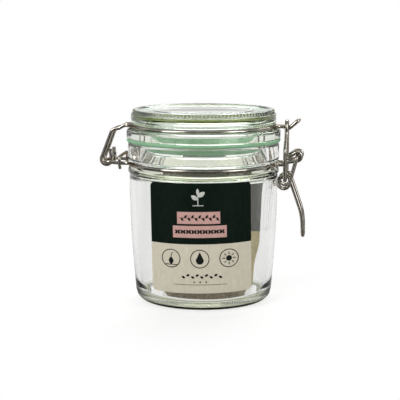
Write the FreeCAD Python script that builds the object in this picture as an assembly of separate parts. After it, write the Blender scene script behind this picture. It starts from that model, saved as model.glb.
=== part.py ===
import FreeCAD, Part
import math
import os

# Clip-top glass jar with a growing kit inside.
# Frame: millimetres, +Z up, origin under the centre of the jar on the surface it stands on.
# The hinge of the lid is at -X, the latch at +X and the label faces -Y.

Vec = FreeCAD.Vector

# Driving sizes, in millimetres and degrees

# Common clearances

running_gap = 0.3        # between wires that move on each other
touch_gap = 0.05         # between a wire and the piece that it is sprung onto
paper_gap = 0.02         # between the label and the glass
overrun = 5.0            # how far a cutter runs past what it cuts

# Wire

wire_r = 1.2             # neck wire, lid wire, lever and link are of one wire
wire_d = 2 * wire_r

# Jar glass, from the outside in

body_r = 49.0            # outside radius under the shoulder
body_top_z = 83.0        # where the shoulder begins
heel_z = 6.5             # where the heel curve meets the body
body_taper = 3.8         # how much narrower the body is at the heel
foot_inset = 3.2         # from the heel in to the ring that it stands on
foot_width = 4.0         # width of that ring
heel_bulge = 1.1         # how far the heel curve stands out of its chord
punt_rise = 1.4          # hollow under the base
wall = 3.5               # glass wall
floor_z = 4.6            # top of the glass base
inner_corner = 5.0       # radius of the inside corner at the base
edge_round = 0.7         # small roundings of the glass
rim_step = 0.9           # how far the rim stands out over the body
rim_height = 10.85
rim_width = 7.7          # from the rim's outside to the mouth
neck_height = 10.45      # from the shoulder to the rim's lower edge
neck_groove_depth = 2.9
neck_groove_width = 4.0
bead_step = 1.0          # how far the bead under the groove stands out over the body
bead_height = 4.4
mouth_depth = 15.0       # straight part of the mouth
shoulder_inside_height = 9.0
shoulder_middle_share = 0.72

rim_r = body_r + rim_step
bead_r = body_r + bead_step
foot_r = body_r - body_taper - foot_inset
mouth_r = rim_r - rim_width
neck_groove_r = rim_r - neck_groove_depth
rim_bottom_z = body_top_z + neck_height
rim_top_z = rim_bottom_z + rim_height

# Gasket

gasket_t = 2.5
gasket_inset = 0.1       # from the lid's flange
gasket_fit = 0.1         # round the lid's boss
gasket_lip_gap = 0.6     # between the top of its lip and the mouth
gasket_lip_t = 0.6       # thickness of the lip's lower edge
gasket_lip_drop = 5.2    # how far the lip hangs into the mouth
gasket_edge = 0.8
seal_gap = 0.1           # between the gasket and the rim

# Lid glass

lid_overhang = 0.9       # how far the flange stands out over the rim
lid_flange_h = 6.0
lid_flange_edge = 1.3
lid_groove_depth = 4.6   # from the flange in to the groove for the lid wire
lid_groove_width = 3.2
lid_block_step = 1.6     # thick upper part, out from the groove
lid_block_h = 6.4
lid_block_edge = 1.1
lid_top_step = 1.3       # beaded ring round the top, in from the block
lid_top_h = 2.3
lid_top_edge = 0.5
lid_height = 18.7        # from the gasket to the top of the lid
lid_boss_gap = 3.7       # between the centring boss and the mouth
lid_boss_drop = 10.3
lid_boss_wall = 3.4
lid_ceiling = 5.9        # from the top of the lid down to its hollow
lid_recess_round = 4.0
dish_inset = 3.0         # shallow dish in the top of the lid
dish_depth = 0.9
dish_ring_inset = 11.6   # raised ring in the dish
dish_ring_width = 1.6
dish_ring_h = 0.5

lid_flange_r = rim_r + lid_overhang
gasket_r = lid_flange_r - gasket_inset
lid_groove_r = lid_flange_r - lid_groove_depth
lid_block_r = lid_groove_r + lid_block_step
lid_top_r = lid_block_r - lid_top_step
lid_boss_r = mouth_r - lid_boss_gap
lid_recess_r = lid_boss_r - lid_boss_wall
gasket_inner_r = lid_boss_r + gasket_fit
dish_r = lid_top_r - dish_inset
dish_ring_r = dish_r - dish_ring_inset
rim_seat_z = rim_top_z + seal_gap
lid_z = rim_seat_z + gasket_t

# Rings of the two long wires. The other wire sizes with "reach" in their names are counted
# outwards from the widest glass, and those with "rise" or "drop" up or down from a ring or a pivot.

ring_exit_bend = 5.0     # bend where a wire leaves a ring
glass_r = max(body_r, bead_r, rim_r, gasket_r, lid_flange_r)
neck_ring_r = neck_groove_r + wire_r + touch_gap
neck_ring_z = rim_bottom_z - edge_round - neck_groove_width / 2 - wire_r / 2
lid_ring_r = lid_groove_r + wire_r + touch_gap
lid_ring_z = lid_z + lid_flange_h + lid_groove_width / 2 + touch_gap

# Lid hinge: the bar is the neck wire's, the hooks are the lid wire's

hinge_reach = 13.2
hinge_rise = 0.85
hinge_bar_half = 11.5    # half of the length of the bar
hinge_bar_bend = 3.0
hinge_strand_reach = 2.2 # where the two strands begin to rise to the bar
hook_slack = 1.0         # room of the hook round the bar
hook_play = 0.2          # left of it under the bar when the lid is shut
hook_shift = 0.1         # how far the hook's middle lies outside the bar
hook_half = 6.0          # half of the distance between the hooks
hook_end_lean = 0.7      # how far the hook's free end leans out
hook_end_rise = 7.0      # from the middle of the hook's bend to the free end
lid_strand_reach = 9.2   # the bend between hook and lid
lid_strand_drop = 2.9
lid_strand_bend = 3.0
lid_knee_reach = 4.4     # where the strand comes down beside the lid
lid_knee_drop = 1.9
lid_slope_reach = 1.5    # where it begins to come down
run_min = 0.95           # shortest straight piece between two bends
run_least = 0.005        # a run shorter than this is left out

hinge_x = -(glass_r + hinge_reach)
hinge_z = neck_ring_z + hinge_rise
hook_r = wire_d + hook_slack

# Nose of the lid wire, which the link goes over

nose_half = 2.0          # half of the distance between its two wires
nose_slope_reach = 2.0
nose_reach = 4.8         # lowest point of the nose
nose_drop = 1.9
nose_bend = 2.5
nose_tip_reach = 11.9
nose_tip_rise = 4.3

# Eyes of the neck wire, which carry the lever

eye_reach = 11.2
eye_rise = 5.45
eye_half = 7.4           # half of the distance between the eyes
eye_rod_reach = 1.6      # where the rod to the eye begins to rise
eye_step_reach = 4.2     # where it levels out
eye_step_rise = 1.6
eye_step_bend = 4.0
eye_turn_end_deg = 125.0 # where the free end leaves the eye
eye_tail = 5.0           # length of the free end

eye_x = glass_r + eye_reach
eye_z = neck_ring_z + eye_rise
eye_r = wire_d + running_gap

# Tie over the two strands of the hinge

tie_r = 1.0
tie_reach = 3.1
tie_bend = 2.4
tie_top_rise = 4.65
tie_knee_drop = 1.25
tie_end_drop = 3.25
tie_end_in = 1.7         # how far its ends are pressed in under the strands

# Lever

lever_stub = 4.6         # from the elbow in through the eye to the end
lever_elbow = 1.9
loop_reach = 2.75        # loops that hold the link
loop_drop = 17.1
loop_room = 1.25         # radius of the loop, over the thickness of the wire
loop_slack_share = 0.93  # corner bends of the loop as a share of its radius
loop_exit_deg = 34.5     # direction in which the wire leaves the loop
crest_reach = 5.3        # bend between loop and handle
crest_bend = 2.0
handle_bend_reach = 15.0
handle_bend_drop = 38.55
handle_bend = 42.0
handle_tip_reach = 15.4
handle_tip_drop = 52.55
handle_tip_bend = 5.0

loop_x = glass_r + loop_reach
loop_z = eye_z - loop_drop
loop_r = wire_d + loop_room
lever_half = eye_half + wire_d + running_gap

# Link

link_shift = 0.9         # its ends turn in the loops, off their middle
link_rise = 1.8
link_stub = 7.6
link_elbow = 2.0
link_leg_reach = 3.7
link_leg = 19.1          # length of the legs up to where they lean together
link_arch_reach = 4.1
link_arch_drop = 1.55    # middle of the arch, from the ring of the lid wire
link_arch_r = 5.0
link_neck = 2.4          # straight stretch under the arch
link_bend = 4.0

link_x = loop_x + link_shift
link_z = loop_z + link_rise
link_half = lever_half + wire_d + running_gap

# Label

label_t = 0.2
label_height = 71.1
label_width = 63.6       # across the front, seen flat
label_corner_r = 3.0
label_turn_deg = 4.6     # the label's middle is turned this far towards the latch
label_skew_deg = 0.8

# Contents

disc_shift = 13.5        # how far the coir disc lies towards the label
disc_side = 2.0          # and towards the latch
disc_gap = 1.1           # between the disc and the curve of the inside corner
disc_end_gap = 9.0       # the same, between the ends of the oval disc and that curve
disc_h = 9.5
disc_edge = 1.5
disc_hole_r = 4.0        # planting hole in the disc
disc_hole_depth = 4.0
packet_gap = 1.0         # between the disc and the packet that stands behind it
packet_t = 5.0           # paper packet with the seeds
packet_paper = 0.35
packet_height = 75.0
packet_low_half = 33.0   # half of its width at the bottom
packet_high_half = 38.0  # half of its width at the top
packet_side = 1.0        # how far it stands towards the latch
packet_seam = 5.0        # flat seam round the packet
seed_r = 0.55
seed_row_count = 2
seed_per_row_count = 8
seed_pitch = 2.3
seed_row_share = 0.5     # shift and height of the next row as a share of the pitch


# Outlines

arc_middle_share = 1 - math.sqrt(1 / 2)   # how far the middle of a quarter arc lies inside its corner
along_share = 0.5        # an edge runs along an axis if this much of its direction does


def outer_radius(z):
    """Outside radius of the jar's body at a height."""
    share = (body_top_z - z) / (body_top_z - heel_z)
    return body_r - body_taper * share ** 2


def line(a, b):
    return Part.LineSegment(a, b).toShape()


def arc(a, middle, b):
    return Part.Arc(a, middle, b).toShape()


def rz(r, z):
    return Vec(r, 0, z)


def body_curve(shift, low, high):
    """The body's side as one arc, moved in or out, from low to high."""
    middle = (low + high) / 2
    return arc(rz(outer_radius(low) + shift, low),
               rz(outer_radius(middle) + shift, middle),
               rz(outer_radius(high) + shift, high))


def polyline(points):
    return [line(a, b) for a, b in zip(points, points[1:])]


def revolve(edges):
    """Turn a closed outline in the XZ plane into a solid about the Z axis."""
    face = Part.Face(Part.Wire(edges))
    return face.revolve(Vec(0, 0, 0), Vec(0, 0, 1), full_turn_deg)


def jar_glass():
    heel_r = outer_radius(heel_z)
    foot_mid = rz((foot_r + heel_r) / 2 + heel_bulge, heel_z / 2 - heel_bulge)
    groove_top = neck_ring_z + neck_groove_width / 2
    groove_low = neck_ring_z - neck_groove_width / 2
    bead_low = groove_low - bead_height
    corner_r = outer_radius(floor_z + inner_corner) - wall
    corner_mid = inner_corner * arc_middle_share
    widen_z = rim_top_z - mouth_depth
    widen_low = widen_z - shoulder_inside_height
    widen_r = outer_radius(widen_low) - wall
    edges = polyline([rz(0, floor_z), rz(0, punt_rise), rz(foot_r - foot_width - punt_rise, punt_rise),
                      rz(foot_r - foot_width, 0), rz(foot_r, 0)])
    edges.append(arc(rz(foot_r, 0), foot_mid, rz(heel_r, heel_z)))
    edges.append(body_curve(0, heel_z, bead_low))
    edges.append(arc(rz(outer_radius(bead_low), bead_low),
                     rz(bead_r, groove_low - bead_height / 2),
                     rz(neck_groove_r + edge_round, groove_low)))
    edges += polyline([rz(neck_groove_r + edge_round, groove_low),
                       rz(neck_groove_r, groove_low + edge_round),
                       rz(neck_groove_r, groove_top - edge_round),
                       rz(neck_groove_r + edge_round, groove_top),
                       rz(rim_r - edge_round, rim_bottom_z - edge_round),
                       rz(rim_r, rim_bottom_z),
                       rz(rim_r, rim_top_z - edge_round),
                       rz(rim_r - edge_round, rim_top_z),
                       rz(mouth_r + edge_round, rim_top_z),
                       rz(mouth_r, rim_top_z - edge_round),
                       rz(mouth_r, widen_z)])
    edges.append(arc(rz(mouth_r, widen_z),
                     rz(mouth_r + (widen_r - mouth_r) * shoulder_middle_share,
                        (widen_z + widen_low) / 2),
                     rz(widen_r, widen_low)))
    edges.append(body_curve(-wall, floor_z + inner_corner, widen_low))
    edges.append(arc(rz(corner_r, floor_z + inner_corner),
                     rz(corner_r - corner_mid, floor_z + corner_mid),
                     rz(corner_r - inner_corner, floor_z)))
    edges.append(line(rz(corner_r - inner_corner, floor_z), rz(0, floor_z)))
    return revolve(edges)


def gasket():
    low, high, r = rim_seat_z, rim_seat_z + gasket_t, gasket_r
    lip_z = low - gasket_lip_drop
    edges = polyline([rz(r - gasket_edge, high), rz(gasket_inner_r, high),
                      rz(gasket_inner_r, lip_z), rz(gasket_inner_r + gasket_lip_t, lip_z),
                      rz(mouth_r - gasket_lip_gap, low), rz(r - gasket_edge, low)])
    edges.append(arc(rz(r - gasket_edge, low), rz(r, (low + high) / 2), rz(r - gasket_edge, high)))
    return revolve(edges)


def lid_glass():
    flange_top = lid_z + lid_flange_h
    groove_top = flange_top + lid_groove_width
    block_top = groove_top + lid_block_h
    top = lid_z + lid_height
    dish_z = top - dish_depth
    ring_out = dish_ring_r + dish_ring_width
    boss_z = lid_z - lid_boss_drop
    recess_z = top - lid_ceiling
    edges = polyline([rz(0, recess_z), rz(0, dish_z),
                      rz(dish_ring_r, dish_z),
                      rz(dish_ring_r + dish_ring_width / 2, dish_z + dish_ring_h),
                      rz(ring_out, dish_z),
                      rz(dish_r - dish_depth, dish_z),
                      rz(dish_r, top),
                      rz(lid_top_r - lid_top_edge, top),
                      rz(lid_top_r, top - lid_top_edge),
                      rz(lid_top_r, top - lid_top_h),
                      rz(lid_block_r - lid_block_edge, block_top),
                      rz(lid_block_r, block_top - lid_block_edge),
                      rz(lid_block_r, groove_top + edge_round),
                      rz(lid_block_r - edge_round, groove_top),
                      rz(lid_groove_r, groove_top - edge_round),
                      rz(lid_groove_r, flange_top + edge_round / 2),
                      rz(lid_flange_r - lid_flange_edge, flange_top),
                      rz(lid_flange_r, flange_top - lid_flange_edge),
                      rz(lid_flange_r, lid_z + edge_round),
                      rz(lid_flange_r - edge_round, lid_z),
                      rz(lid_boss_r, lid_z),
                      rz(lid_boss_r, boss_z + edge_round),
                      rz(lid_boss_r - edge_round, boss_z),
                      rz(lid_recess_r, boss_z),
                      rz(lid_recess_r, recess_z - lid_recess_round)])
    recess_mid = lid_recess_round * arc_middle_share
    edges.append(arc(rz(lid_recess_r, recess_z - lid_recess_round),
                     rz(lid_recess_r - recess_mid, recess_z - recess_mid),
                     rz(lid_recess_r - lid_recess_round, recess_z)))
    edges.append(line(rz(lid_recess_r - lid_recess_round, recess_z), rz(0, recess_z)))
    return revolve(edges)


# Wire paths

def rounded_path(points):
    """Straight runs joined by tangent arcs; each inner point carries its bend radius."""
    edges = []
    start = points[0][0]
    for (before, _), (corner, bend), (after, _) in zip(points, points[1:], points[2:]):
        to_before = (before - corner).normalize()
        to_after = (after - corner).normalize()
        half = to_before.getAngle(to_after) / 2
        reach = bend / math.tan(half)
        middle_direction = (to_before + to_after).normalize()
        middle = corner + middle_direction * (bend / math.sin(half) - bend)
        enter = corner + to_before * reach
        leave = corner + to_after * reach
        if (enter - start).Length > run_least:
            edges.append(line(start, enter))
        edges.append(arc(enter, middle, leave))
        start = leave
    edges.append(line(start, points[-1][0]))
    return edges


quarter_turn_deg = 90
full_turn_deg = 360


def on_circle(centre, r, deg, y):
    """Point of a circle in the plane of one y, with angles from +X towards +Z."""
    turn = math.radians(deg)
    return Vec(centre.x + r * math.cos(turn), y, centre.z + r * math.sin(turn))


def circle_arc(centre, r, from_deg, to_deg, y):
    return arc(on_circle(centre, r, from_deg, y), on_circle(centre, r, (from_deg + to_deg) / 2, y),
               on_circle(centre, r, to_deg, y))


def ring_half(ring_r, z, left_half, right_half):
    """The ring's front half with a bend out to each side, from the hinge side to the latch side."""
    def exit_points(half, side):
        bend = ring_exit_bend
        centre_y = -(half + bend)
        centre_x = side * math.sqrt((ring_r + bend) ** 2 - centre_y ** 2)
        centre = Vec(centre_x, centre_y, z)
        on_ring = Vec(centre_x, centre_y, 0).normalize() * ring_r + Vec(0, 0, z)
        on_run = Vec(centre_x, -half, z)
        towards = ((on_ring - centre).normalize() + (on_run - centre).normalize()).normalize()
        return on_ring, centre + towards * bend, on_run
    left_ring, left_mid, left_run = exit_points(left_half, -1)
    right_ring, right_mid, right_run = exit_points(right_half, 1)
    front = Vec(0, -ring_r, z)
    edges = [arc(left_run, left_mid, left_ring), arc(left_ring, front, right_ring),
             arc(right_ring, right_mid, right_run)]
    return left_run, edges, right_run


def tangent_deg(point, centre, r, side):
    """Angle on a circle of the tangent point seen from a point outside it."""
    reach = math.hypot(point.x - centre.x, point.z - centre.z)
    base = math.degrees(math.atan2(point.z - centre.z, point.x - centre.x))
    return base + side * math.degrees(math.acos(r / reach))


def sweep(edges, r):
    """A round wire along a path of tangent edges."""
    path = Part.Wire(edges)
    first = path.OrderedEdges[0]
    low = first.FirstParameter
    direction = first.tangentAt(low)
    start = first.valueAt(low)
    if (start - path.OrderedVertexes[0].Point).Length > touch_gap:
        low = first.LastParameter
        direction = first.tangentAt(low) * -1
        start = first.valueAt(low)
    profile = Part.Wire(Part.Circle(start, direction, r).toShape())
    solid = path.makePipeShell([profile], True, False)
    section = math.pi * r * r * path.Length
    print("wire", round(path.Length, 1), "mm, volume over section times length",
          round(solid.Volume / section, 4))
    return solid


def both_sides(half_solid):
    """A wire that is the same on both sides of the XZ plane, made of its front half."""
    other = half_solid.mirror(Vec(0, 0, 0), Vec(0, 1, 0))
    return half_solid.fuse(other).removeSplitter()


def one_solid(shape):
    return shape.Solids[0] if len(shape.Solids) == 1 else shape


def neck_wire():
    left_run, ring, right_run = ring_half(neck_ring_r, neck_ring_z, hinge_bar_half, eye_half)
    strand_x = min(-(glass_r + hinge_strand_reach), left_run.x - run_min)
    hinge_points = [(Vec(hinge_x, 0, hinge_z), 0),
                    (Vec(hinge_x, -hinge_bar_half, hinge_z), hinge_bar_bend),
                    (Vec(strand_x, -hinge_bar_half, neck_ring_z), ring_exit_bend),
                    (left_run, 0)]
    eye = Vec(eye_x, 0, eye_z)
    rod_x = max(glass_r + eye_rod_reach, right_run.x + run_min / 2)
    rod_start = Vec(rod_x, -eye_half, neck_ring_z)
    step = Vec(glass_r + eye_step_reach, -eye_half, neck_ring_z + eye_step_rise)
    enter_deg = tangent_deg(step, eye, eye_r, 1)
    enter = on_circle(eye, eye_r, enter_deg, -eye_half)
    leave = on_circle(eye, eye_r, eye_turn_end_deg, -eye_half)
    end_turn = math.radians(eye_turn_end_deg)
    tail = leave + Vec(-math.sin(end_turn), 0, math.cos(end_turn)) * eye_tail
    edges = rounded_path(hinge_points) + ring
    edges += rounded_path([(right_run, 0), (rod_start, eye_step_bend / 2), (step, eye_step_bend), (enter, 0)])
    edges.append(circle_arc(eye, eye_r, enter_deg, eye_turn_end_deg, -eye_half))
    edges.append(line(leave, tail))
    return one_solid(both_sides(sweep(edges, wire_r)))


def hinge_tie():
    side = hinge_bar_half + wire_r + tie_r + touch_gap
    x = -(glass_r + tie_reach)
    top_z = neck_ring_z + tie_top_rise
    end = Vec(x, -side + tie_end_in, neck_ring_z - tie_end_drop)
    knee = Vec(x, -side, neck_ring_z - tie_knee_drop)
    edges = rounded_path([(end, 0), (knee, tie_bend), (Vec(x, -side, top_z), tie_bend),
                          (Vec(x, 0, top_z), 0)])
    return one_solid(both_sides(sweep(edges, tie_r)))


def lid_wire():
    left_run, ring, right_run = ring_half(lid_ring_r, lid_ring_z, hook_half, nose_half)
    hook = Vec(hinge_x - hook_shift, -hook_half, hinge_z + hook_slack - hook_play)
    free_end = Vec(hook.x + hook_r - hook_end_lean, -hook_half, hook.z + hook_end_rise)
    bend = Vec(-(glass_r + lid_strand_reach), -hook_half, lid_ring_z - lid_strand_drop)
    in_deg = tangent_deg(free_end, hook, hook_r, -1)
    out_deg = tangent_deg(bend, hook, hook_r, 1)
    enter = on_circle(hook, hook_r, in_deg, -hook_half)
    leave = on_circle(hook, hook_r, out_deg, -hook_half)
    slope_x = min(-(glass_r + lid_slope_reach), left_run.x - run_min)
    slope = Vec(slope_x, -hook_half, lid_ring_z)
    knee = Vec(-(glass_r + lid_knee_reach), -hook_half, lid_ring_z - lid_knee_drop)
    edges = [line(free_end, enter),
             circle_arc(hook, hook_r, in_deg, out_deg - full_turn_deg, -hook_half)]
    edges += rounded_path([(leave, 0), (bend, lid_strand_bend), (knee, lid_strand_bend),
                           (slope, lid_strand_bend), (left_run, 0)])
    edges += ring
    dip_x = max(glass_r + nose_slope_reach, right_run.x + run_min)
    dip = Vec(dip_x, -nose_half, lid_ring_z)
    crook = Vec(glass_r + nose_reach, -nose_half, lid_ring_z - nose_drop)
    tip = Vec(glass_r + nose_tip_reach, -nose_half, lid_ring_z + nose_tip_rise)
    rise = (tip - crook).normalize()
    tip_start = tip - rise * nose_half
    edges += rounded_path([(right_run, 0), (dip, nose_bend), (crook, nose_bend), (tip_start, 0)])
    quarter_mid = (tip_start + Vec(0, nose_half * arc_middle_share, 0)
                   + rise * (nose_half * (1 - arc_middle_share)))
    edges.append(arc(tip_start, quarter_mid, Vec(tip.x, 0, tip.z)))
    return one_solid(both_sides(sweep(edges, wire_r)))


def lever():
    pivot = Vec(eye_x, 0, eye_z)
    loop = Vec(loop_x, 0, loop_z)
    inner_y = -eye_half
    outer_y = -lever_half
    strand_deg = tangent_deg(pivot, loop, loop_r, -1)
    end_deg = loop_exit_deg + quarter_turn_deg - full_turn_deg
    corner_count = 4
    turn = (strand_deg - end_deg) / corner_count
    points = [(Vec(eye_x, outer_y + lever_stub, eye_z), 0), (Vec(eye_x, outer_y, eye_z), lever_elbow)]
    reach = loop_r / math.cos(math.radians(turn / 2))
    for i in range(corner_count):
        y = outer_y + (inner_y - outer_y) * i / (corner_count - 1)
        corner = on_circle(loop, reach, strand_deg - turn * (i + i + 1) / 2, y)
        points.append((corner, loop_r * loop_slack_share))
    end = on_circle(loop, loop_r, end_deg, inner_y)
    crest_x = glass_r + crest_reach
    crest_z = end.z + (crest_x - end.x) * math.tan(math.radians(loop_exit_deg))
    tip_x = glass_r + handle_tip_reach
    tip_z = eye_z - handle_tip_drop
    points.append((Vec(crest_x, inner_y, crest_z), crest_bend))
    points.append((Vec(glass_r + handle_bend_reach, inner_y, eye_z - handle_bend_drop), handle_bend))
    points.append((Vec(tip_x, inner_y, tip_z), handle_tip_bend))
    points.append((Vec(tip_x, 0, tip_z), 0))
    return one_solid(both_sides(sweep(rounded_path(points), wire_r)))


def latch_link():
    arch_x = glass_r + link_arch_reach
    arch_z = lid_ring_z - link_arch_drop
    inner_end = Vec(link_x, -link_half + link_stub, link_z)
    leg_top = Vec(glass_r + link_leg_reach, -link_half, link_z + link_leg)
    neck_low = Vec(arch_x, -link_arch_r, arch_z - link_neck)
    shoulder = Vec(arch_x, -link_arch_r, arch_z)
    top = Vec(arch_x, 0, arch_z + link_arch_r)
    edges = rounded_path([(inner_end, 0), (Vec(link_x, -link_half, link_z), link_elbow),
                          (leg_top, link_bend), (neck_low, link_bend), (shoulder, 0)])
    part_of_r = link_arch_r * (1 - arc_middle_share)
    edges.append(arc(shoulder, Vec(arch_x, -part_of_r, arch_z + part_of_r), top))
    return one_solid(both_sides(sweep(edges, wire_r)))


# Paper and contents

def wall_skin(shift, thickness, low, high):
    """A skin that follows the jar's side, outside it for a shift above 0."""
    inner = body_curve(shift, low, high)
    outer = body_curve(shift + thickness, low, high)
    low_edge = line(rz(outer_radius(low) + shift, low), rz(outer_radius(low) + shift + thickness, low))
    high_edge = line(rz(outer_radius(high) + shift, high), rz(outer_radius(high) + shift + thickness, high))
    return revolve([inner, high_edge, outer, low_edge])


def front_cutter(width, low, high, corner, turn_deg, skew_deg):
    """A block with rounded corners that cuts a patch out of a skin at the front."""
    block = Part.makeBox(width, body_r + overrun, high - low, Vec(-width / 2, -body_r - overrun, low))
    across = [e for e in block.Edges if abs(e.tangentAt(e.FirstParameter).y) > along_share]
    block = one_solid(block.makeFillet(corner, across))
    block.rotate(Vec(0, 0, (low + high) / 2), Vec(0, 1, 0), skew_deg)
    block.rotate(Vec(0, 0, 0), Vec(0, 0, 1), turn_deg)
    return block


def front_label():
    skin = wall_skin(paper_gap, label_t, heel_z, body_top_z + paper_gap)
    cutter = front_cutter(label_width, body_top_z - label_height, body_top_z, label_corner_r,
                          label_turn_deg, -label_skew_deg)
    return one_solid(skin.common(cutter))


floor_r = outer_radius(floor_z + inner_corner) - wall - inner_corner
disc_half_deep = floor_r - disc_shift - disc_gap
disc_half_wide = floor_r - disc_end_gap
packet_y = disc_half_deep - disc_shift + packet_gap + packet_t / 2
packet_z = floor_z + touch_gap


def coir_disc():
    oval = Part.Ellipse(Vec(disc_side, -disc_shift, floor_z), disc_half_wide, disc_half_deep)
    disc = Part.Face(Part.Wire([oval.toShape()])).extrude(Vec(0, 0, disc_h))
    rims = [e for e in disc.Edges if e.Closed]
    disc = disc.makeChamfer(disc_edge, rims)
    hole = Part.makeCylinder(disc_hole_r, disc_hole_depth + overrun,
                             Vec(disc_side, -disc_shift, floor_z + disc_h - disc_hole_depth))
    return disc.cut(hole)


def packet_plate(inset, thickness):
    """An upright plate of the packet's outline, less an inset all round."""
    low_half, high_half = packet_low_half - inset, packet_high_half - inset
    low, high = packet_z + inset, packet_z + packet_height - inset
    y = packet_y - thickness / 2
    outline = Part.makePolygon([Vec(packet_side - low_half, y, low), Vec(packet_side + low_half, y, low),
                                Vec(packet_side + high_half, y, high),
                                Vec(packet_side - high_half, y, high),
                                Vec(packet_side - low_half, y, low)])
    return Part.Face(outline).extrude(Vec(0, thickness, 0))


def packet_swell(thickness):
    """An upright lens, as wide as the packet between its seams."""
    half = packet_high_half - packet_seam
    left = Vec(packet_side - half, packet_y, packet_z)
    right = Vec(packet_side + half, packet_y, packet_z)
    front = Vec(packet_side, packet_y - thickness / 2, packet_z)
    back = Vec(packet_side, packet_y + thickness / 2, packet_z)
    lens = Part.Face(Part.Wire([arc(left, front, right), arc(right, back, left)]))
    return lens.extrude(Vec(0, 0, packet_height))


def seed_packet():
    swell = packet_swell(packet_t).common(packet_plate(packet_seam, packet_t))
    outside = packet_plate(0, 2 * packet_paper).fuse(swell)
    inner_t = packet_t - 2 * packet_paper
    hollow = packet_swell(inner_t).common(packet_plate(packet_seam + packet_paper, inner_t))
    return one_solid(outside.cut(hollow))


def seeds():
    """Seeds that lie in rows at the bottom of the packet."""
    solids = []
    for row in range(seed_row_count):
        for i in range(seed_per_row_count):
            shift = seed_pitch * seed_row_share * row
            x = packet_side + seed_pitch * (i - (seed_per_row_count - 1) / 2) + shift
            z = packet_z + packet_seam + packet_paper + seed_r + touch_gap + shift
            solids.append(Part.makeSphere(seed_r, Vec(x, packet_y, z)))
    return Part.makeCompound(solids)


nodes = {
    "jar_glass": jar_glass,
    "front_label": front_label,
    "coir_disc": coir_disc,
    "seed_packet": seed_packet,
    "seeds": seeds,
    "neck_wire": neck_wire,
    "hinge_tie": hinge_tie,
    "gasket": gasket,
    "lid_glass": lid_glass,
    "lid_wire": lid_wire,
    "lever": lever,
    "latch_link": latch_link,
}

os.makedirs("parts", exist_ok=True)
for name, make in nodes.items():
    shape = make()
    box = shape.optimalBoundingBox(False, False)
    print(name, "solids", len(shape.Solids), "valid", shape.isValid(), "volume", round(shape.Volume, 1),
          "x", round(box.XMin, 2), round(box.XMax, 2), "y", round(box.YMin, 2), round(box.YMax, 2),
          "z", round(box.ZMin, 2), round(box.ZMax, 2))
    shape.exportStep("parts/" + name + ".step")
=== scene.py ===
import math
import random

import bmesh
import bpy
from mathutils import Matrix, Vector

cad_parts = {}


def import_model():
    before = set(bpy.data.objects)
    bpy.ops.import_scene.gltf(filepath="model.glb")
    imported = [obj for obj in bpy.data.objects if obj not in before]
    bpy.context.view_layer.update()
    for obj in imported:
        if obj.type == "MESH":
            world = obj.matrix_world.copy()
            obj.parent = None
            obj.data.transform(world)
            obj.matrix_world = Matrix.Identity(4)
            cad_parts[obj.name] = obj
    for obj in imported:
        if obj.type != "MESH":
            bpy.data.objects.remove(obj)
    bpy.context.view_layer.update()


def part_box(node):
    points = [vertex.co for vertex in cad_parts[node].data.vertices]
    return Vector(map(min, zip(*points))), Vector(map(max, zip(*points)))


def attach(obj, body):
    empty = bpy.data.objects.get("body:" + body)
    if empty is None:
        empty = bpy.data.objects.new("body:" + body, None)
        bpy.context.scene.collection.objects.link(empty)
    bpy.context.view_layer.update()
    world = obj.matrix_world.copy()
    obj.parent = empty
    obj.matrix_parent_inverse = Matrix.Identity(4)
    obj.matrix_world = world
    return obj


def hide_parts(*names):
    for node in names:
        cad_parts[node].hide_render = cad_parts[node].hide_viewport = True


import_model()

MM = 0.001

# All sizes below are in millimetres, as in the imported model, unless a line says otherwise.

# The label's place on the glass
LABEL_TURN = math.radians(4.6)
LABEL_SKEW = math.radians(0.8)
LABEL_MID_Z = 47.45
LABEL_EDGE_Z = 44.0         # where the dark field of the label meets the pale one
PRINT_LIFT = 0.27           # how far the print lies over the glass
ORNAMENT_LIFT = 0.29        # print that lies on other print
PRINT_CUT_ACROSS = 2.0      # the print is cut so finely that it can follow the curve
PRINT_CUT_UP = 6.0

# The glass body between heel and shoulder
BODY_R = 49.0
BODY_TOP_Z = 83.0
HEEL_Z = 6.5
BODY_TAPER = 3.8
BODY_WALL = 3.5
SKIN_GAP = 0.03             # keeps the turned glass just inside the solid's outline

# Base, neck and mouth of the jar
PUNT_Z = 1.4
FLOOR_Z = 4.6
NECK_R = 47.0
RIM_R = 49.9
MOUTH_R = 42.2
JAR_TOP_Z = 104.3

# Lid
LID_TOP_Z = 125.6
DISH_Z = 124.75
BLOCK_R = 47.8
GROOVE_R = 46.2
FLANGE_R = 50.8
FLANGE_TOP_Z = 112.9
FLANGE_LOW_Z = 106.9
BOSS_LOW_Z = 96.6
RECESS_Z = 119.7

# Rows of pressed beads: count, low z, high z, least radius, height
HEEL_BEADS = (156, 3.2, 5.6, 43.0, 0.5)
LID_BEADS = (120, 122.9, 125.58, 44.6, 1.5)
JAR_FACETS = 624            # four for each bead
LID_FACETS = 960            # eight for each bead

# Paper packet
PACKET_EDGE_Z = 42.4        # where its tan part meets the grey one
PACKET_LOW_HALF = 33.0
PACKET_HIGH_HALF = 38.0
PACKET_SEAM = 0.07          # as a share of its width or height
PACKET_PAPER_HALF = 0.22

# Colours of the glass
CLEAR = (0.905, 0.905, 0.902)
# the foot's dark olive is partly the thick glass's own tint and partly painted shade where the jar stands on
# the floor
FOOT_OLIVE_AND_SHADE = (0.15, 0.165, 0.065)
GLASS_ABSORBS = (0.70, 0.74, 0.60)
GLASS_DENSITY = 9.0
GLASS_RIPPLE = 0.03


def outer_radius(z):
    """Outside radius of the glass at a height."""
    share = (BODY_TOP_Z - z) / (BODY_TOP_Z - HEEL_Z)
    return BODY_R - BODY_TAPER * share ** 2


# Nodes

def grey(value):
    return (value, value, value)


def new_material(name):
    mat = bpy.data.materials.new(name)
    mat.use_nodes = True
    tree = mat.node_tree
    return mat, tree, tree.nodes["Principled BSDF"]


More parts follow.
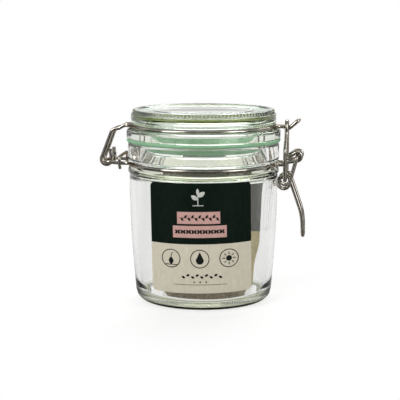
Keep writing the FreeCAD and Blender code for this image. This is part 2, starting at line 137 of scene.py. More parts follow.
def feed(tree, node, values):
    """Gives the inputs of a node their values, with a link where a value is another node's output."""
    for socket, value in zip(node.inputs, values):
        if isinstance(value, bpy.types.NodeSocket):
            tree.links.new(value, socket)
        else:
            socket.default_value = value


def maths(tree, operation, *values):
    node = tree.nodes.new("ShaderNodeMath")
    node.operation = operation
    feed(tree, node, values)
    return node.outputs["Value"]


def vector_maths(tree, operation, *values):
    node = tree.nodes.new("ShaderNodeVectorMath")
    node.operation = operation
    feed(tree, node, values)
    return node.outputs["Value" if operation in ("LENGTH", "DOT_PRODUCT") else "Vector"]


def object_place(tree):
    return tree.nodes.new("ShaderNodeTexCoord").outputs["Object"]


def split(tree, vector):
    node = tree.nodes.new("ShaderNodeSeparateXYZ")
    tree.links.new(vector, node.inputs["Vector"])
    return node.outputs


def away_from_axis(tree, place):
    """The part of a place that points away from the jar's axis."""
    return vector_maths(tree, "MULTIPLY", place, (1, 1, 0))


def share_of(tree, value, low, high):
    """0 at one value and 1 at another."""
    node = tree.nodes.new("ShaderNodeMapRange")
    tree.links.new(value, node.inputs["Value"])
    node.inputs["From Min"].default_value = low
    node.inputs["From Max"].default_value = high
    return node.outputs["Result"]


def between(tree, value, low, high):
    """1 where a value lies between two others."""
    return maths(tree, "MULTIPLY", maths(tree, "GREATER_THAN", value, low),
                 maths(tree, "LESS_THAN", value, high))


def ramp(tree, source, stops):
    node = tree.nodes.new("ShaderNodeValToRGB")
    tree.links.new(source, node.inputs["Fac"])
    points = node.color_ramp.elements
    while len(points) < len(stops):
        points.new(0.5)
    for point, (place, colour) in zip(points, stops):
        point.position = place
        point.color = (*colour, 1.0)
    return node.outputs["Color"]


def mix_colours(tree, factor, first, second):
    mix = tree.nodes.new("ShaderNodeMix")
    mix.data_type = "RGBA"
    tree.links.new(factor, mix.inputs[0])
    sockets = [socket for socket in mix.inputs if socket.type == "RGBA"]
    for socket, colour in zip(sockets, (first, second)):
        if isinstance(colour, tuple):
            socket.default_value = (*colour, 1.0)
        else:
            tree.links.new(colour, socket)
    return [socket for socket in mix.outputs if socket.type == "RGBA"][0]


def mix_shaders(tree, factor, first, second):
    mix = tree.nodes.new("ShaderNodeMixShader")
    feed(tree, mix, (factor, first, second))
    return mix.outputs["Shader"]


def noise(tree, scale, detail=4.0, roughness=0.55, stretch=(1, 1, 1)):
    mapping = tree.nodes.new("ShaderNodeMapping")
    mapping.inputs["Scale"].default_value = stretch
    tree.links.new(object_place(tree), mapping.inputs["Vector"])
    node = tree.nodes.new("ShaderNodeTexNoise")
    node.inputs["Scale"].default_value = scale
    node.inputs["Detail"].default_value = detail
    node.inputs["Roughness"].default_value = roughness
    tree.links.new(mapping.outputs["Vector"], node.inputs["Vector"])
    return node.outputs["Fac"]


def bump(tree, shader, height, strength, distance):
    node = tree.nodes.new("ShaderNodeBump")
    node.inputs["Strength"].default_value = strength
    node.inputs["Distance"].default_value = distance
    tree.links.new(height, node.inputs["Height"])
    tree.links.new(node.outputs["Normal"], shader.inputs["Normal"])


def mottle(tree, shader, scale, detail, dark, light, high=0.75, low=0.3):
    """A base colour that wanders between two others."""
    colour = ramp(tree, noise(tree, scale, detail), [(low, dark), (high, light)])
    tree.links.new(colour, shader.inputs["Base Color"])


def uneven_gloss(tree, shader, scale, detail, smooth_end, rough_end, low=0.3):
    """A roughness that wanders between two values."""
    rough = ramp(tree, noise(tree, scale, detail), [(low, grey(smooth_end)), (0.7, grey(rough_end))])
    tree.links.new(rough, shader.inputs["Roughness"])


# Materials

def glass_material(name, low_z, high_z, tints, core_r, core, shaded_dips=None):
    """Pressed glass: almost clear, olive where it is thick, with a slightly wavy skin; the hollows between
    the beads and some tints carry painted shade.

    tints are (height share, colour) from low_z to high_z, outside core_r. Inside it the glass is core.
    dips is (least r, most r, low z, high z, colour) of the hollows between the beads.
    """
    mat, tree, shader = new_material(name)
    place = object_place(tree)
    height = split(tree, place)["Z"]
    radius = vector_maths(tree, "LENGTH", away_from_axis(tree, place))
    outside = share_of(tree, radius, (core_r - 0.5) * MM, (core_r + 0.5) * MM)
    tint = ramp(tree, share_of(tree, height, low_z * MM, high_z * MM), tints)
    colour = mix_colours(tree, outside, core, tint)
    if shaded_dips:
        least, most, low, high, dip_shade_colour = shaded_dips
        # the hollows between the beads are darkened with painted shade
        in_shaded_dip = maths(tree, "MULTIPLY", between(tree, radius, least * MM, most * MM),
                       between(tree, height, low * MM, high * MM))
        colour = mix_colours(tree, in_shaded_dip, colour, dip_shade_colour)
    tree.links.new(colour, shader.inputs["Base Color"])
    shader.inputs["Transmission Weight"].default_value = 1.0
    shader.inputs["IOR"].default_value = 1.5
    uneven_gloss(tree, shader, 60.0, 4.0, 0.0, 0.03, 0.35)
    bump(tree, shader, noise(tree, 38.0, 2.0, 0.5, (1, 1, 1.8)), GLASS_RIPPLE, 0.002)
    absorb = tree.nodes.new("ShaderNodeVolumeAbsorption")
    absorb.inputs["Color"].default_value = (*GLASS_ABSORBS, 1.0)
    absorb.inputs["Density"].default_value = GLASS_DENSITY
    tree.links.new(absorb.outputs["Volume"], tree.nodes["Material Output"].inputs["Volume"])
    return mat


def steel_material():
    mat, tree, shader = new_material("steel_wire")
    shader.inputs["Metallic"].default_value = 1.0
    mottle(tree, shader, 300.0, 5.0, (0.40, 0.37, 0.325), (0.60, 0.57, 0.525))
    shader.inputs["Specular Tint"].default_value = (0.30, 0.25, 0.20, 1.0)
    uneven_gloss(tree, shader, 900.0, 4.0, 0.07, 0.13)
    bump(tree, shader, noise(tree, 1500.0, 3.0), 0.05, 0.0003)
    return mat


def rubber_material():
    mat, tree, shader = new_material("seal_rubber")
    mottle(tree, shader, 180.0, 5.0, (0.20, 0.41, 0.235), (0.28, 0.49, 0.31))
    shader.inputs["Subsurface Weight"].default_value = 0.15
    shader.inputs["Subsurface Radius"].default_value = (0.002, 0.004, 0.003)
    uneven_gloss(tree, shader, 700.0, 3.0, 0.40, 0.54)
    bump(tree, shader, noise(tree, 1300.0, 2.0), 0.08, 0.0003)
    return mat


def above_line(tree, edge_z, tilt):
    """1 above a slightly tilted line and 0 below it."""
    parts = split(tree, object_place(tree))
    lean = maths(tree, "MULTIPLY", parts["X"], -tilt)
    line = maths(tree, "ADD", parts["Z"], lean)
    return maths(tree, "GREATER_THAN", line, edge_z * MM)


def facing_out(tree):
    """1 on faces that look away from the jar's axis and 0 on those that look towards it."""
    place = tree.nodes.new("ShaderNodeTexCoord")
    outwards = away_from_axis(tree, place.outputs["Object"])
    facing = vector_maths(tree, "DOT_PRODUCT", place.outputs["Normal"], outwards)
    return maths(tree, "GREATER_THAN", facing, 0.0)


def paper_material(name, edge_z, tilt, low_stops, high_stops, gloss, grain, back_stops=None):
    """Paper in two colours, one below a line and one above it, and perhaps a third on its back."""
    mat, tree, shader = new_material(name)
    fibres = noise(tree, 520.0, 6.0, 0.6, (1, 1, 0.5))
    colour = mix_colours(tree, above_line(tree, edge_z, tilt), ramp(tree, fibres, low_stops),
                         ramp(tree, fibres, high_stops))
    if back_stops:
        colour = mix_colours(tree, facing_out(tree), ramp(tree, fibres, back_stops), colour)
    tree.links.new(colour, shader.inputs["Base Color"])
    uneven_gloss(tree, shader, 90.0, 3.0, *gloss)
    bump(tree, shader, fibres, grain, 0.0004)
    return mat


def ink_material(name, dark, light):
    mat, tree, shader = new_material(name)
    mottle(tree, shader, 420.0, 5.0, dark, light)
    uneven_gloss(tree, shader, 120.0, 4.0, 0.42, 0.55)
    bump(tree, shader, noise(tree, 900.0, 2.0), 0.05, 0.0002)
    return mat


def coir_material():
    mat, tree, shader = new_material("coir")
    fibres = noise(tree, 700.0, 8.0, 0.7, (1, 1, 0.35))
    colour = ramp(tree, fibres, [(0.25, (0.075, 0.055, 0.030)), (0.5, (0.21, 0.170, 0.100)),
                                 (0.8, (0.40, 0.345, 0.22))])
    tree.links.new(colour, shader.inputs["Base Color"])
    shader.inputs["Roughness"].default_value = 0.92
    bump(tree, shader, fibres, 0.8, 0.0012)
    return mat


def seed_material():
    mat, tree, shader = new_material("seed")
    mottle(tree, shader, 1500.0, 4.0, (0.012, 0.009, 0.007), (0.05, 0.04, 0.03), 0.8)
    shader.inputs["Roughness"].default_value = 0.6
    bump(tree, shader, noise(tree, 2500.0), 0.3, 0.0001)
    return mat


# Dark olive at the foot: the thick glass's own tint together with painted shade where the jar stands
jar_mat = glass_material("jar_glass", 0.0, 105.0, [
    (0.0, FOOT_OLIVE_AND_SHADE), (0.012, FOOT_OLIVE_AND_SHADE), (0.024, (0.70, 0.73, 0.60)), (0.05, CLEAR), (0.785, CLEAR),
    (0.815, (0.74, 0.77, 0.64)), (0.840, (0.76, 0.78, 0.66)), (0.875, (0.97, 0.97, 0.965)),
    (0.955, (0.97, 0.972, 0.965)), (1.0, (0.90, 0.92, 0.87))], 38.0, (0.94, 0.94, 0.935))
# The last argument darkens the hollows between the lid's beads with painted shade
lid_mat = glass_material("lid_glass", 96.0, 126.0, [
    (0.0, (0.95, 0.955, 0.94)), (0.36, (0.84, 0.875, 0.82)), (0.42, (0.86, 0.89, 0.83)),
    (0.50, (0.95, 0.96, 0.94)), (0.68, (0.70, 0.80, 0.735)), (0.77, (0.68, 0.77, 0.66)),
    (0.82, (0.16, 0.21, 0.05)), (0.885, (0.18, 0.22, 0.06)), (0.905, (0.95, 0.96, 0.93))],
    44.0, (0.97, 0.975, 0.965), (44.3, 45.95, 122.9, 125.5, (0.16, 0.19, 0.07)))
steel_mat = steel_material()
rubber_mat = rubber_material()
label_mat = paper_material(
    "label_print", LABEL_EDGE_Z, math.tan(LABEL_SKEW),
    [(0.3, (0.61, 0.565, 0.455)), (0.8, (0.71, 0.665, 0.54))],
    [(0.3, (0.0035, 0.0085, 0.0060)), (0.8, (0.0075, 0.0150, 0.0110))],
    (0.34, 0.46), 0.05,
    [(0.3, (0.52, 0.51, 0.48)), (0.8, (0.62, 0.61, 0.58))])
packet_mat = paper_material(
    "packet_print", PACKET_EDGE_Z, 0.0,
    [(0.3, (0.43, 0.365, 0.19)), (0.8, (0.55, 0.475, 0.265))],
    [(0.3, (0.068, 0.070, 0.058)), (0.8, (0.105, 0.107, 0.090))],
    (0.5, 0.7), 0.25)
pink_mat = ink_material("pink_ink", (0.53, 0.315, 0.28), (0.62, 0.385, 0.345))
dark_mat = ink_material("dark_ink", (0.008, 0.011, 0.010), (0.018, 0.022, 0.019))
pale_mat = ink_material("pale_ink", (0.50, 0.52, 0.48), (0.62, 0.63, 0.59))
coir_mat = coir_material()
seed_mat = seed_material()
for mat in (label_mat, pink_mat, dark_mat):
    mat.node_tree.nodes["Principled BSDF"].inputs["Specular IOR Level"].default_value = 0.06

node_materials = {
    "jar_glass": jar_mat, "lid_glass": lid_mat, "gasket": rubber_mat,
    "neck_wire": steel_mat, "hinge_tie": steel_mat, "lid_wire": steel_mat,
    "lever": steel_mat, "latch_link": steel_mat, "front_label": label_mat,
    "seed_packet": packet_mat, "seeds": seed_mat, "coir_disc": coir_mat,
}
for node_name, mat in node_materials.items():
    obj = bpy.data.objects[node_name]
    obj.data.materials.clear()
    obj.data.materials.append(mat)


def new_piece(name, bm, mat):
    """Turns a finished mesh into a smooth object of the scene."""
    mesh = bpy.data.meshes.new(name)
    bm.to_mesh(mesh)
    bm.free()
    obj = bpy.data.objects.new(name, mesh)
    bpy.context.collection.objects.link(obj)
    mesh.materials.append(mat)
    for polygon in mesh.polygons:
        polygon.use_smooth = True
    return obj


# Print on the label

def on_label(u, v, lift):
    """A point of the label's face: u across and v up, seen from the front."""
    up = v - LABEL_MID_Z
    across = u * math.cos(LABEL_SKEW) - up * math.sin(LABEL_SKEW)
    z = LABEL_MID_Z + u * math.sin(LABEL_SKEW) + up * math.cos(LABEL_SKEW)
    r = outer_radius(z) + lift
    turn = LABEL_TURN + math.asin(across / r)
    return Vector((r * math.sin(turn), -r * math.cos(turn), z)) * MM


def print_piece(name, shapes, mat, lift=PRINT_LIFT):
    """Flat shapes of the print, cut into narrow strips and laid on the label."""
    bm = bmesh.new()
    for points in shapes:
        bm.faces.new([bm.verts.new((u, v, 0)) for u, v in points])
    bmesh.ops.triangulate(bm, faces=bm.faces[:])
    cuts = [((i * PRINT_CUT_ACROSS, 0, 0), (1, 0, 0)) for i in range(-16, 17)]
    cuts += [((0, i * PRINT_CUT_UP, 0), (0, 1, 0)) for i in range(1, 14)]
    for place, normal in cuts:
        geometry = bm.verts[:] + bm.edges[:] + bm.faces[:]
        bmesh.ops.bisect_plane(bm, geom=geometry, plane_co=place, plane_no=normal)
    bmesh.ops.remove_doubles(bm, verts=bm.verts[:], dist=0.001)
    for vert in bm.verts:
        vert.co = on_label(vert.co.x, vert.co.y, lift)
    bmesh.ops.recalc_face_normals(bm, faces=bm.faces[:])
    for face in bm.faces:
        centre = face.calc_center_median()
        if face.normal.dot(Vector((centre.x, centre.y, 0))) < 0:
            face.normal_flip()
    obj = new_piece(name, bm, mat)
    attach(obj, "jar")


def circle(u, v, r, count=28):
    return [(u + r * math.cos(math.tau * i / count), v + r * math.sin(math.tau * i / count))
            for i in range(count)]


def ring(u, v, r, width, count=36):
    out, inn = circle(u, v, r, count), circle(u, v, r - width, count)
    return [[out[i], out[(i + 1) % count], inn[(i + 1) % count], inn[i]] for i in range(count)]


def stroke(points, width):
    quads = []
    for (u0, v0), (u1, v1) in zip(points, points[1:]):
        length = math.hypot(u1 - u0, v1 - v0)
        du, dv = -(v1 - v0) / length * width / 2, (u1 - u0) / length * width / 2
        quads.append([(u0 + du, v0 + dv), (u1 + du, v1 + dv), (u1 - du, v1 - dv), (u0 - du, v0 - dv)])
    return quads


def leaf(u, v, length, width, deg):
    """A pointed leaf from its stalk end outwards."""
    turn = math.radians(deg)
    count = 10
    side = []
    for i in range(count + 1):
        t = i / count
        side.append((t * length, width / 2 * math.sin(math.pi * t) ** 0.8))
    outline = side + [(a, -b) for a, b in reversed(side[1:-1])]
    return [(u + a * math.cos(turn) - b * math.sin(turn), v + a * math.sin(turn) + b * math.cos(turn))
            for a, b in outline]


def drop(u, v, r, height):
    """A drop: a tip over a round belly that is open by 100 degrees at its top."""
    points = [(u, v + height)]
    steps = 18
    for i in range(steps + 1):
        turn = math.radians(40 - i * (260 / steps))
        points.append((u + r * math.cos(turn), v + r * math.sin(turn)))
    return points


def bar(u0, u1, v0, v1):
    return [(u0, v0), (u1, v0), (u1, v1), (u0, v1)]


def print_strips():
    print_piece("print_strips", [bar(-14.6, 12.6, 57.2, 64.9), bar(-17.4, 16.6, 48.3, 56.0)], pink_mat)


def print_sprout():
    """A small sprout above the strips."""
    stalk_u = -1.2
    mark = stroke([(stalk_u, 69.2), (stalk_u, 75.4)], 0.55)
    mark += [leaf(stalk_u, 74.4, 5.4, 3.0, 35), leaf(stalk_u, 72.6, 5.0, 2.8, 148)]
    mark += [leaf(stalk_u, 75.2, 4.6, 1.9, 92)]
    mark += stroke([(-4.6, 68.9), (2.2, 68.9)], 0.45)
    print_piece("print_sprout", mark, pale_mat)


def print_ornaments():
    """A vine on the upper strip and a row of flowers on the lower one."""
    vine_v, flower_v = 61.05, 52.15
    vine = []
    for i in range(11):
        vine.append(leaf(-12.2 + i * 2.24, vine_v, 2.5, 1.35, 48 if i % 2 else -48))
    vine += stroke([(-13.2, vine_v), (11.2, vine_v)], 0.35)
    for i in range(9):
        for deg in (35, 145, 215, 325):
            vine.append(leaf(-14.4 + i * 3.5, flower_v, 2.0, 1.3, deg))
    print_piece("print_ornaments", vine, dark_mat, ORNAMENT_LIFT)


def print_pictures():
    """Seed, water and sun in three rings, and a garland under them."""
    row_v, ring_r, line = 34.6, 6.1, 0.55
    seed_u, water_u, sun_u = -19.0, -0.6, 17.8
    pictures = []
    for u in (seed_u, water_u, sun_u):
        pictures += ring(u, row_v, ring_r, line)
    pictures += [leaf(seed_u, 30.6, 5.0, 3.1, 90)]
    pictures += stroke([(-22.8, 30.6), (-15.2, 30.6)], 0.5)
    pictures += stroke([(seed_u, 35.4), (-18.7, 37.4), (-17.9, 38.6)], 0.45)
    pictures += [drop(water_u, 33.5, 2.5, 5.6)]
    pictures += [circle(sun_u, row_v, 1.8)]
    for i in range(8):
        turn = math.radians(i * 45)
        cu, cv = math.cos(turn), math.sin(turn)
        pictures += stroke([(sun_u + 2.5 * cu, row_v + 2.5 * cv), (sun_u + 4.1 * cu, row_v + 4.1 * cv)], line)
    for i in range(9):
        pictures.append(leaf(-12.4 + i * 2.95, 23.2, 2.6, 1.5, 30 if i % 2 else -30))
    pictures += stroke([(-17.5, 17.6), (16.3, 17.6)], 0.3)
    for i in range(3):
        pictures.append(circle(-4.4 + i * 3.8, 19.4, 0.55, 14))
    print_piece("print_pictures", pictures, dark_mat)


print_strips()
print_sprout()
print_ornaments()
print_pictures()


# Glass, turned from a soft outline, with the rows of small beads that are pressed into it

def rounded(points, steps=5):
    """An outline of (r, z, fillet) corners as a list of (r, z), with an arc at each corner."""
    outline = []
    for i, (r, z, fillet) in enumerate(points):
        here = Vector((r, z))
        if not fillet:
            outline.append(here)
            continue
        before = (Vector(points[i - 1][:2]) - here).normalized()
        after = (Vector(points[i + 1][:2]) - here).normalized()
        half = before.angle(after) / 2
        reach = fillet / math.tan(half)
        centre = here + (before + after).normalized() * (fillet / math.sin(half))
        start = here + before * reach - centre
        sweep = math.pi - 2 * half
        side = 1 if start.x * (here - centre).y - start.y * (here - centre).x > 0 else -1
        for k in range(steps + 1):
            turn = side * sweep * k / steps
            outline.append(centre + Vector((start.x * math.cos(turn) - start.y * math.sin(turn),
                                            start.x * math.sin(turn) + start.y * math.cos(turn))))
    return outline


def lathe(name, outline, around, beads, body, mat, node):
    """Turns an outline about the axis, with a row of beads cut into it."""
    count, low, high, least, height = beads
    bm = bmesh.new()
    rows = []
    for r, z in outline:
        if r < 1e-6:
            rows.append([bm.verts.new(Vector((0, 0, z)) * MM)] * around)
            continue
        inside = low < z < high and r > least
        rise = height * math.sin(math.pi * (z - low) / (high - low)) if inside else 0.0
        row = []
        for j in range(around):
            turn = math.tau * j / around
            rr = r + rise * (math.cos(turn * count) - 1) / 2
            row.append(bm.verts.new(Vector((rr * math.cos(turn), rr * math.sin(turn), z)) * MM))
        rows.append(row)
    for a, b in zip(rows, rows[1:]):
        for j in range(around):
            k = (j + 1) % around
            # at the axis two of the four corners are one
            corners = list(dict.fromkeys((a[j], a[k], b[k], b[j])))
            bm.faces.new(corners)
    bmesh.ops.recalc_face_normals(bm, faces=bm.faces[:])
    obj = new_piece(name, bm, mat)
    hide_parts(node)
    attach(obj, body)
    # light reaches what stands in the jar
    obj.visible_shadow = False


def body_side(shift, low, high, steps=16):
    heights = [low + (high - low) * i / steps for i in range(steps + 1)]
    return [Vector((outer_radius(z) + shift, z)) for z in heights]


def jar_outline():
    """From the middle of the base outwards, up the outside, and down the inside to the floor."""
    foot = rounded([(0, PUNT_Z, 0), (36.8, PUNT_Z, 1.0), (38.2, 0.0, 0.8), (41.4, 0.0, 1.6),
                    (44.2, 2.6, 3.0), (45.25, 6.6, 0)], 6)
    side = body_side(-SKIN_GAP, 8.0, 82.6)
    neck = rounded([(BODY_R, 83.2, 0), (49.1, 83.9, 0.8), (50.0, 85.2, 1.4), (49.7, 87.4, 1.5),
                    (NECK_R, 88.9, 0.8), (NECK_R, 91.6, 0.8), (RIM_R, 92.9, 1.2), (RIM_R, JAR_TOP_Z, 1.7),
                    (MOUTH_R, JAR_TOP_Z, 1.7), (MOUTH_R, 88.6, 9.0), (45.35, 81.2, 9.0), (45.47, 78.0, 0)])
    inside = body_side(-BODY_WALL, 76.0, 11.0)
    floor_corner = rounded([(41.6, 9.6, 0), (41.1, FLOOR_Z, 4.0), (35.0, FLOOR_Z, 0), (0, FLOOR_Z, 0)], 8)
    return foot + side + neck + inside + floor_corner


def lid_outline():
    """From the middle of the dished top outwards, down the edge, and in under the boss."""
    top = [(0, 124.7, 0), (24.0, DISH_Z, 0), (31.5, DISH_Z, 1.2), (32.7, 125.25, 0.9), (33.9, DISH_Z, 1.2),
           (42.2, DISH_Z, 1.6), (43.5, LID_TOP_Z, 0.9), (46.6, LID_TOP_Z, 0.9), (46.75, 123.2, 0.4)]
    edge = [(BLOCK_R, 122.7, 0.9), (BLOCK_R, 116.1, 1.1), (GROOVE_R, 115.6, 0.6),
            (GROOVE_R, FLANGE_TOP_Z, 0.9), (FLANGE_R, FLANGE_TOP_Z, 2.0), (FLANGE_R, FLANGE_LOW_Z, 0.9)]
    boss = [(38.5, FLANGE_LOW_Z, 0.4), (38.3, BOSS_LOW_Z, 1.6), (35.3, BOSS_LOW_Z, 1.3),
            (35.1, RECESS_Z, 4.0), (0, RECESS_Z, 0)]
    return rounded(top + edge + boss)


lathe("jar_body", jar_outline(), JAR_FACETS, HEEL_BEADS, "jar", jar_mat, "jar_glass")
lathe("lid_body", lid_outline(), LID_FACETS, LID_BEADS, "lid", lid_mat, "lid_glass")


# Paper packet

def clamp(value):
    return max(0.0, min(1.0, value))


def ease(share):
    """Softens both ends of a share that runs from 0 to 1."""
    return share * share * (3 - 2 * share)


def packet_piece():
    low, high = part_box("seed_packet")
    side = (low[0] + high[0]) / 2 / MM
    mid_y = (low[1] + high[1]) / 2 / MM
    low_z, high_z = low[2] / MM, high[2] / MM
    swell = (high[1] - low[1]) / 2 / MM
    columns, rows = 84, 96
    rng = random.Random(11)
    # across, up, lean, width and depth of each wrinkle
    wrinkles = [(rng.uniform(-1, 1), rng.uniform(0.15, 0.85), rng.uniform(-0.9, 0.9),
                 rng.uniform(0.05, 0.13), rng.uniform(-0.32, 0.32)) for _ in range(26)]

    def surface(s, t, face):
        """A point of the paper: s across from -1 to 1, t up from 0 to 1, face -1 in front and 1 behind."""
        waist = 0.955 + (0.075 - 0.05 * max(0.0, t - 0.42)) * ease(clamp((t - 0.18) / 0.24))
        half = (PACKET_LOW_HALF + (PACKET_HIGH_HALF - PACKET_LOW_HALF) * t) * waist
        across = max(0.0, 1 - (abs(s) / (1 - PACKET_SEAM)) ** 2.4)
        along = ease(clamp((t - PACKET_SEAM) / 0.16) * clamp((0.90 - t) / 0.14))
        bulge = (swell - 0.6) * across ** 0.8 * along
        for ws, wt, lean, width, depth in wrinkles:
            ridge = (s - ws) * math.cos(lean) + (t - wt) * math.sin(lean)
            near = math.exp(-((s - ws) ** 2 + (t - wt) ** 2) / 0.12)
            bulge += depth * near * math.exp(-(ridge / width) ** 2) * min(1.0, across * along * 3) * face
        in_seam = t > 0.925 or t < 0.05
        crimp = 0.10 * math.sin(math.tau * t * 71 / 1.4) if in_seam else 0.0
        curl = 0.35 * math.sin(2.3 * s + 0.6) * max(0.0, t - 0.9) * 10
        y = mid_y + curl + face * (PACKET_PAPER_HALF + max(bulge, 0.0)) + crimp
        return Vector((side + s * half, y, low_z + t * (high_z - low_z))) * MM

    bm = bmesh.new()
    sheets = {}
    for face in (-1, 1):
        sheets[face] = [[bm.verts.new(surface(-1 + 2 * i / columns, j / rows, face))
                         for i in range(columns + 1)] for j in range(rows + 1)]
    for grid in sheets.values():
        for j in range(rows):
            for i in range(columns):
                bm.faces.new((grid[j][i], grid[j][i + 1], grid[j + 1][i + 1], grid[j + 1][i]))
    front, back = sheets[-1], sheets[1]
    for i in (0, columns):
        for j in range(rows):
            bm.faces.new((front[j][i], front[j + 1][i], back[j + 1][i], back[j][i]))
    for j in (0, rows):
        for i in range(columns):
            bm.faces.new((front[j][i], front[j][i + 1], back[j][i + 1], back[j][i]))
    bmesh.ops.recalc_face_normals(bm, faces=bm.faces[:])
    obj = new_piece("paper_packet", bm, packet_mat)
    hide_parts("seed_packet")
    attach(obj, "jar")


packet_piece()


# Pressed coir disc with a rough surface

def coir_piece():
    low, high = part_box("coir_disc")
    mid = Vector(((low[0] + high[0]) / 2, (low[1] + high[1]) / 2, 0))
    r = (high[0] - low[0]) / 2 / MM
    depth_share = (high[1] - low[1]) / (high[0] - low[0])
    around = 120
    top_z = 9.5
    rng = random.Random(7)
    hole = [(0.0, 5.5), (3.4, 5.5), (4.0, 6.2), (4.2, 9.2), (4.8, top_z)]
    top = [(4.8 + (r - 6.3) * i / 10, top_z) for i in range(1, 11)]
    edge = [(r - 0.6, 9.1), (r - 0.1, 8.0), (r, 6.4), (r, 4.6), (r, 2.8), (r - 0.1, 1.5), (r - 0.6, 0.5)]
    bottom = [(r - 1.6, 0.05), (r * 0.5, 0.05), (0.0, 0.05)]
    bm = bmesh.new()
    rows = []
    for pr, pz in hole + top + edge + bottom:
        row = []
        for j in range(around):
            turn = math.tau * j / around
            rough = rng.uniform(-0.28, 0.0) if 0 < pz < 9.6 and pr > 0 else 0.0
            rr = max(pr + rough, 0.0)
            sunk = rng.uniform(-0.25, 0.0) * (1 if pz > 5 else 0)
            zz = min(max(pz + sunk, 0.02), top_z)
            row.append(bm.verts.new((mid.x + rr * MM * math.cos(turn),
                                     mid.y + rr * MM * math.sin(turn) * depth_share, low[2] + zz * MM)))
        rows.append(row)
    for a, b in zip(rows, rows[1:]):
        for j in range(around):
            k = (j + 1) % around
            bm.faces.new((a[j], a[k], b[k], b[j]))
    bmesh.ops.remove_doubles(bm, verts=bm.verts[:], dist=1e-6)
    bmesh.ops.recalc_face_normals(bm, faces=bm.faces[:])
    obj = new_piece("coir_tablet", bm, coir_mat)
    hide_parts("coir_disc")
    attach(obj, "jar")


coir_piece()


# Stage, light and camera, in metres

FLOOR_SIZE = 16.0
FLOOR_DROP = 0.0001         # the foot ring doesn't lie in the floor's own plane
LAMP_AIM = (0, 0, 0.06)
CAMERA_PLACE = (0.0975, -0.7940, 0.192)
CAMERA_AIM = (0, 0, 0.060)


def light_path(tree):
    """The kinds of ray, and 1 for rays from the camera and for rays that come through glass."""
    rays = tree.nodes.new("ShaderNodeLightPath").outputs
    return rays, maths(tree, "MAXIMUM", rays["Is Camera Ray"], rays["Is Transmission Ray"])


def light_strips(tree, direction):
    """Four upright strips of light at the corners of a dim room, as reflections show them."""
    parts = split(tree, direction)
    size = maths(tree, "ABSOLUTE", maths(tree, "MULTIPLY", parts["X"], parts["Y"]))
    return ramp(tree, size, [(0.455, grey(0.04)), (0.485, grey(0.95))])


def emission(tree, colour):
    node = tree.nodes.new("ShaderNodeEmission")
    feed(tree, node, (colour,))
    return node.outputs["Emission"]


def diffuse(tree, colour):
    node = tree.nodes.new("ShaderNodeBsdfDiffuse")
    feed(tree, node, (colour,))
    return node.outputs["BSDF"]


def background(tree, colour):
    node = tree.nodes.new("ShaderNodeBackground")
    feed(tree, node, (colour,))
    return node.outputs["Background"]


def floor():
    """Pale near the object, where it keeps the shadow, and plain white further out.

    What the glass and the wires mirror of it is dark in front, with the strips of light, and pale behind.
    """
    bpy.ops.mesh.primitive_plane_add(size=FLOOR_SIZE, location=(0, 0, -FLOOR_DROP))
    obj = bpy.context.active_object
    obj.name = "floor"
    mat, tree, shader = new_material("floor")
    shader.inputs["Base Color"].default_value = (0.95, 0.95, 0.95, 1.0)
    shader.inputs["Roughness"].default_value = 0.9
    shader.inputs["Specular IOR Level"].default_value = 0.0
    rays, seen = light_path(tree)
    place = object_place(tree)
    far = vector_maths(tree, "LENGTH", place)
    white = emission(tree, (1, 1, 1, 1))

    fade = ramp(tree, far, [(0.05, grey(0.45)), (0.16, grey(1.0))])
    shown = mix_shaders(tree, fade, shader.outputs["BSDF"], white)
    through = mix_shaders(tree, rays["Is Transmission Ray"], shown, white)

    lights = emission(tree, light_strips(tree, vector_maths(tree, "NORMALIZE", place)))
    room = ramp(tree, far, [(0.20, grey(0.0)), (0.32, grey(1.0))])
    front = mix_shaders(tree, room, diffuse(tree, (0.16, 0.155, 0.14, 1.0)), lights)
    behind = ramp(tree, split(tree, place)["Y"], [(0.0, grey(0.0)), (0.10, grey(1.0))])
    mirrored = mix_shaders(tree, behind, front, emission(tree, (0.80, 0.80, 0.80, 1)))
    unseen = mix_shaders(tree, rays["Is Glossy Ray"], diffuse(tree, (0.50, 0.50, 0.49, 1.0)), mirrored)

    full = mix_shaders(tree, seen, unseen, through)
    tree.links.new(full, tree.nodes["Material Output"].inputs["Surface"])
    obj.data.materials.append(mat)


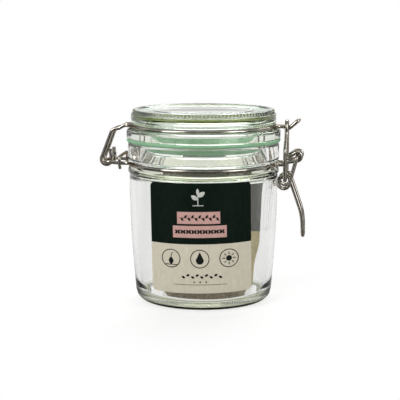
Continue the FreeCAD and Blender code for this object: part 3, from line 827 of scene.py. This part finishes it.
def area(name, place, width, height, power):
    data = bpy.data.lights.new(name, "AREA")
    data.shape = "RECTANGLE"
    data.size = width
    data.size_y = height
    data.energy = power
    obj = bpy.data.objects.new(name, data)
    bpy.context.collection.objects.link(obj)
    obj.location = place
    obj.rotation_euler = (Vector(LAMP_AIM) - Vector(place)).to_track_quat("-Z", "Y").to_euler()


def studio(tree):
    """What reflections show above the floor: a pale backdrop and ceiling, and the strips."""
    direction = tree.nodes.new("ShaderNodeTexCoord").outputs["Generated"]
    parts = split(tree, direction)
    ceiling = ramp(tree, parts["Z"], [(0.0, grey(0.06)), (0.36, grey(0.10)), (0.42, grey(0.95)),
                                      (0.58, grey(0.95)), (0.64, grey(0.10)), (0.85, grey(0.12)),
                                      (0.97, grey(0.6))])
    behind = ramp(tree, parts["Y"], [(0.80, grey(0.0)), (0.95, grey(0.80))])
    lights = vector_maths(tree, "MAXIMUM", light_strips(tree, direction), ceiling)
    return background(tree, vector_maths(tree, "MAXIMUM", lights, behind))


def world():
    scene_world = bpy.data.worlds.new("studio")
    bpy.context.scene.world = scene_world
    scene_world.use_nodes = True
    tree = scene_world.node_tree
    tree.nodes.clear()
    out = tree.nodes.new("ShaderNodeOutputWorld")
    rays, seen = light_path(tree)
    lit = background(tree, (0.50, 0.50, 0.495, 1))
    room = mix_shaders(tree, rays["Is Glossy Ray"], lit, studio(tree))
    full = mix_shaders(tree, seen, room, background(tree, (1, 1, 1, 1)))
    tree.links.new(full, out.inputs["Surface"])


def camera():
    data = bpy.data.cameras.new("camera")
    data.lens = 109.6
    data.sensor_width = 36.0
    data.shift_x = -0.009
    data.shift_y = 0.0177
    data.clip_start = 0.01
    obj = bpy.data.objects.new("camera", data)
    bpy.context.collection.objects.link(obj)
    obj.location = CAMERA_PLACE
    obj.rotation_euler = (Vector(CAMERA_AIM) - obj.location).to_track_quat("-Z", "Y").to_euler()
    bpy.context.scene.camera = obj


floor()
world()
area("key", (-0.75, -0.75, 0.75), 0.7, 0.9, 8.0)
area("fill", (0.85, -0.45, 0.55), 0.5, 0.9, 4.0)
area("back", (0.1, 0.9, 0.9), 1.0, 0.6, 8.0)
camera()
bpy.context.scene.view_settings.view_transform = "Standard"
